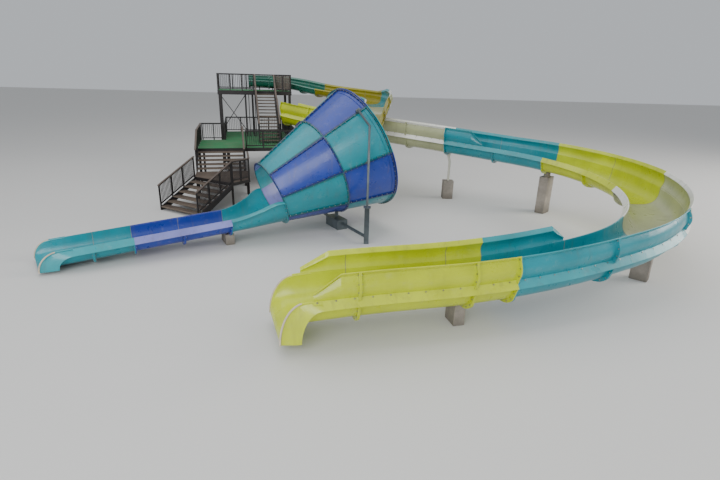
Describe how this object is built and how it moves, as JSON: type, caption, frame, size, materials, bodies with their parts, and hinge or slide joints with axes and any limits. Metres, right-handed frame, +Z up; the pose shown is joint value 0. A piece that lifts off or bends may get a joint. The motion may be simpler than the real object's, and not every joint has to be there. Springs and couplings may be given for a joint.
{
  "type": "water slide tower",
  "caption": "Water slide tower: a stair tower with a funnel slide fed by an open flume, and an open slide that makes a wide U-turn down to the pool.",
  "frame": {"origin": "centre of the underside of the base plate at the tower's front left leg, at the lowest level that the slides reach", "axes": "+Z up; +X to the right of the picture and +Y away from its camera, so the tower is turned 15 degrees about +Z"},
  "size_m": [21.1851, 24.8354, 5.75],
  "materials": {
    "blue_fibreglass": "gloss gelcoat, slightly faded",
    "brown_boards": "matte brown non-slip coating",
    "brown_handrail": "satin brown grey paint",
    "concrete": "cast concrete, matte",
    "cream_fibreglass": "gloss gelcoat, slightly faded",
    "dark_steel": "satin charcoal paint",
    "green_deck": "matte green non-slip coating",
    "green_fibreglass": "gloss gelcoat, slightly faded",
    "grey_steel": "satin grey paint",
    "lime_fibreglass": "gloss gelcoat, slightly faded",
    "olive_fibreglass": "gloss gelcoat, slightly faded",
    "teal_fibreglass": "gloss gelcoat, slightly faded"
  },
  "bodies": {
    "root": {"feed_cream": "cream_fibreglass", "feed_green": "green_fibreglass", "feed_last": "olive_fibreglass", "feed_olive": "olive_fibreglass", "feed_post": "dark_steel", "feed_start_tub": "teal_fibreglass", "feed_teal": "teal_fibreglass", "funnel_panel_a1": "teal_fibreglass", "funnel_panel_a2": "blue_fibreglass", "funnel_panel_a3": "teal_fibreglass", "funnel_panel_a4": "blue_fibreglass", "funnel_panel_a5": "teal_fibreglass", "funnel_panel_a6": "blue_fibreglass", "funnel_panel_a7": "teal_fibreglass", "funnel_panel_a8": "blue_fibreglass", "funnel_panel_b1": "blue_fibreglass", "funnel_panel_b2": "teal_fibreglass", "funnel_panel_b3": "blue_fibreglass", "funnel_panel_b4": "teal_fibreglass", "funnel_panel_b5": "blue_fibreglass", "funnel_panel_b6": "teal_fibreglass", "funnel_panel_b7": "blue_fibreglass", "funnel_panel_b8": "teal_fibreglass", "funnel_stand": "grey_steel", "landing": "brown_boards", "landing_railing": "brown_handrail", "lower_deck": "green_deck", "lower_flight": "dark_steel", "lower_flight_railing_left": "brown_handrail", "lower_flight_railing_right": "brown_handrail", "lower_railing_back": "dark_steel", "lower_railing_right": "dark_steel", "mid_platform": "dark_steel", "runout_middle": "blue_fibreglass", "runout_mouth": "teal_fibreglass", "runout_pier": "concrete", "runout_transition": "teal_fibreglass", "steep_stair": "dark_steel", "steep_stair_railing_left": "brown_handrail", "steep_stair_railing_right": "brown_handrail", "tower_frame": "dark_steel", "upper_deck_floor": "green_deck", "upper_railing_back": "dark_steel", "upper_railing_front": "dark_steel", "upper_railing_right": "dark_steel", "uturn_bend_cream": "cream_fibreglass", "uturn_bend_lime": "lime_fibreglass", "uturn_bend_teal": "teal_fibreglass", "uturn_cream": "cream_fibreglass", "uturn_last_lime": "lime_fibreglass", "uturn_pier_bend": "concrete", "uturn_pier_last": "concrete", "uturn_pier_turn": "concrete", "uturn_post": "dark_steel", "uturn_start": "lime_fibreglass", "uturn_teal": "teal_fibreglass", "wide_stair": "dark_steel", "wide_stair_railing_left": "brown_handrail", "wide_stair_railing_right": "brown_handrail"}
  },
  "joints": []
}
